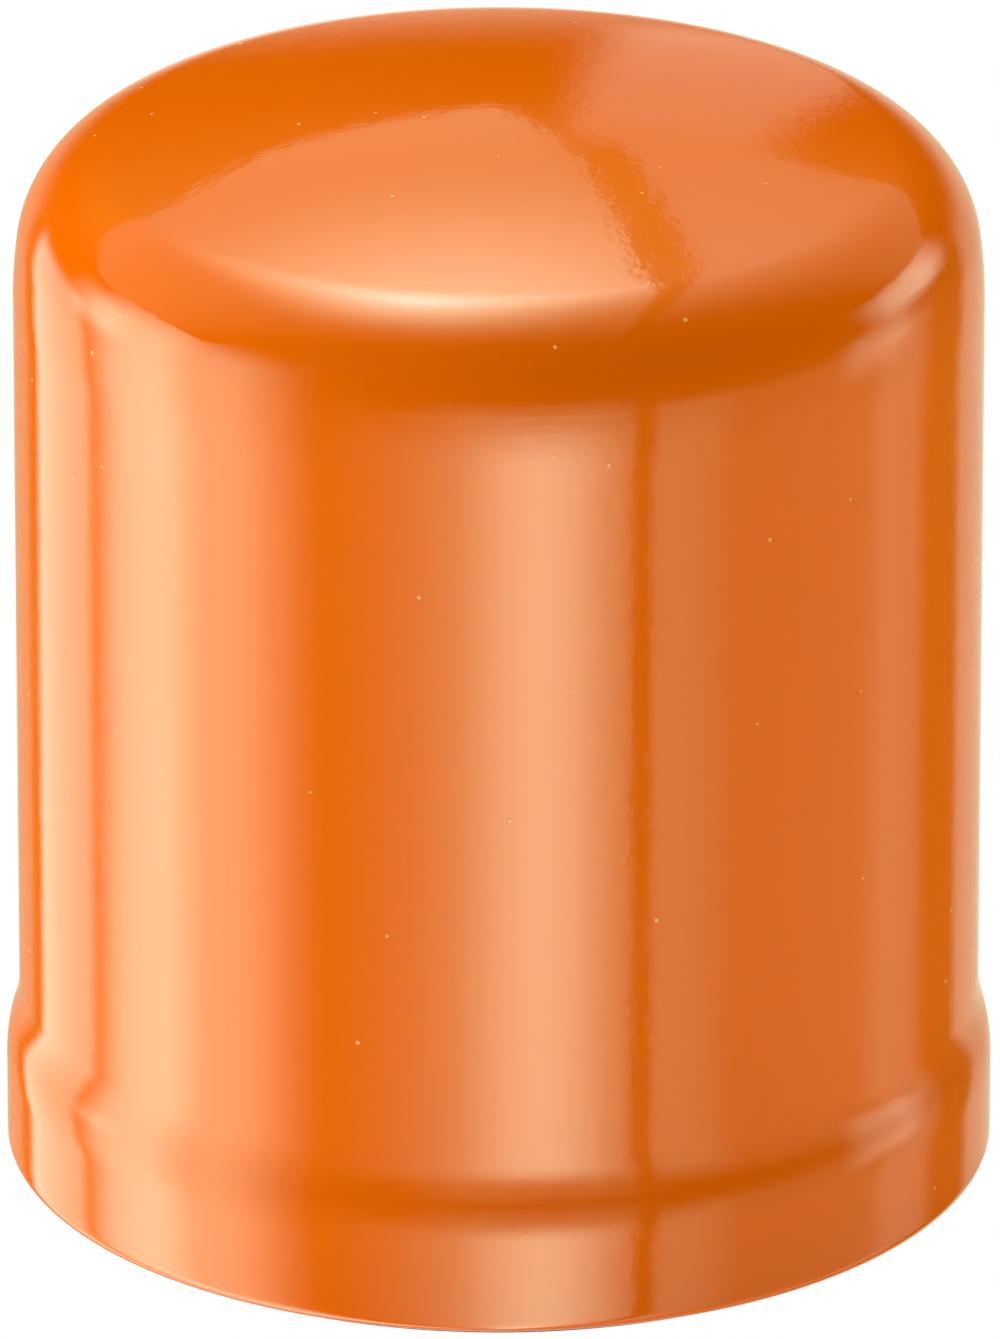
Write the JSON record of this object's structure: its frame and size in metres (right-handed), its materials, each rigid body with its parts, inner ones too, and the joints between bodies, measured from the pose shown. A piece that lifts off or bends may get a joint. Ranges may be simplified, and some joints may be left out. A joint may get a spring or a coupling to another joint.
{
  "type": "spin-on oil filter",
  "caption": "Orange spin-on oil filter canister with a domed end, a stepped rim, a face gasket, a pleated element, a bypass valve and an anti-drainback valve.",
  "frame": {"origin": "on the thread's axis, in the plane of the gasket's sealing face, which is the lowest point of the filter", "axes": "+Z along the thread's axis from the gasket to the crown of the dome, +X and +Y round the axis at will"},
  "size_m": [0.078, 0.078, 0.0878],
  "materials": {
    "orange_paint": "glossy powder coat, light orange peel",
    "plate_steel": "bare stamped steel, lightly oiled",
    "zinc_plate": "tin or zinc plated sheet",
    "gasket_rubber": "smooth black nitrile rubber",
    "seam_rubber": "matt black rubber compound",
    "silicone": "satin red silicone",
    "plastisol": "cured grey plastisol",
    "filter_paper": "resin-treated cellulose paper",
    "spring_steel": "oiled spring wire"
  },
  "bodies": {
    "housing": {"can": "orange_paint", "base_plate": "plate_steel", "seaming_lid": "zinc_plate", "seam_compound": "seam_rubber", "gasket": "gasket_rubber", "element_spring": "spring_steel"},
    "drainback_lip": {"anti_drainback_valve": "silicone"},
    "element": {"lower_end_cap": "zinc_plate", "lower_adhesive": "plastisol", "pleated_media": "filter_paper", "media_seam_clip": "zinc_plate", "centre_tube": "zinc_plate", "upper_adhesive": "plastisol", "upper_end_cap": "zinc_plate", "bypass_cage": "plate_steel", "bypass_seat": "plate_steel", "bypass_spring": "spring_steel"},
    "bypass_head": {"bypass_poppet": "plate_steel", "bypass_seal": "seam_rubber", "bypass_stem_clip": "spring_steel"}
  },
  "joints": [
    {"name": "element_lift", "type": "slide", "parent": "housing", "child": "element", "axis": [0, 0, 1], "range_m": [0, 0.0025], "stiffness_N_per_m": 4000, "deforming": ["element_spring"]},
    {"name": "bypass_open", "type": "slide", "parent": "element", "child": "bypass_head", "axis": [0, 0, -1], "range_m": [0, 0.0025], "stiffness_N_per_m": 1500, "deforming": ["bypass_spring"]},
    {"name": "drainback_lift", "type": "slide", "parent": "housing", "child": "drainback_lip", "axis": [0, 0, 1], "range_m": [0, 0.0015], "stiffness_N_per_m": 400, "deforming": ["anti_drainback_valve"]}
  ]
}
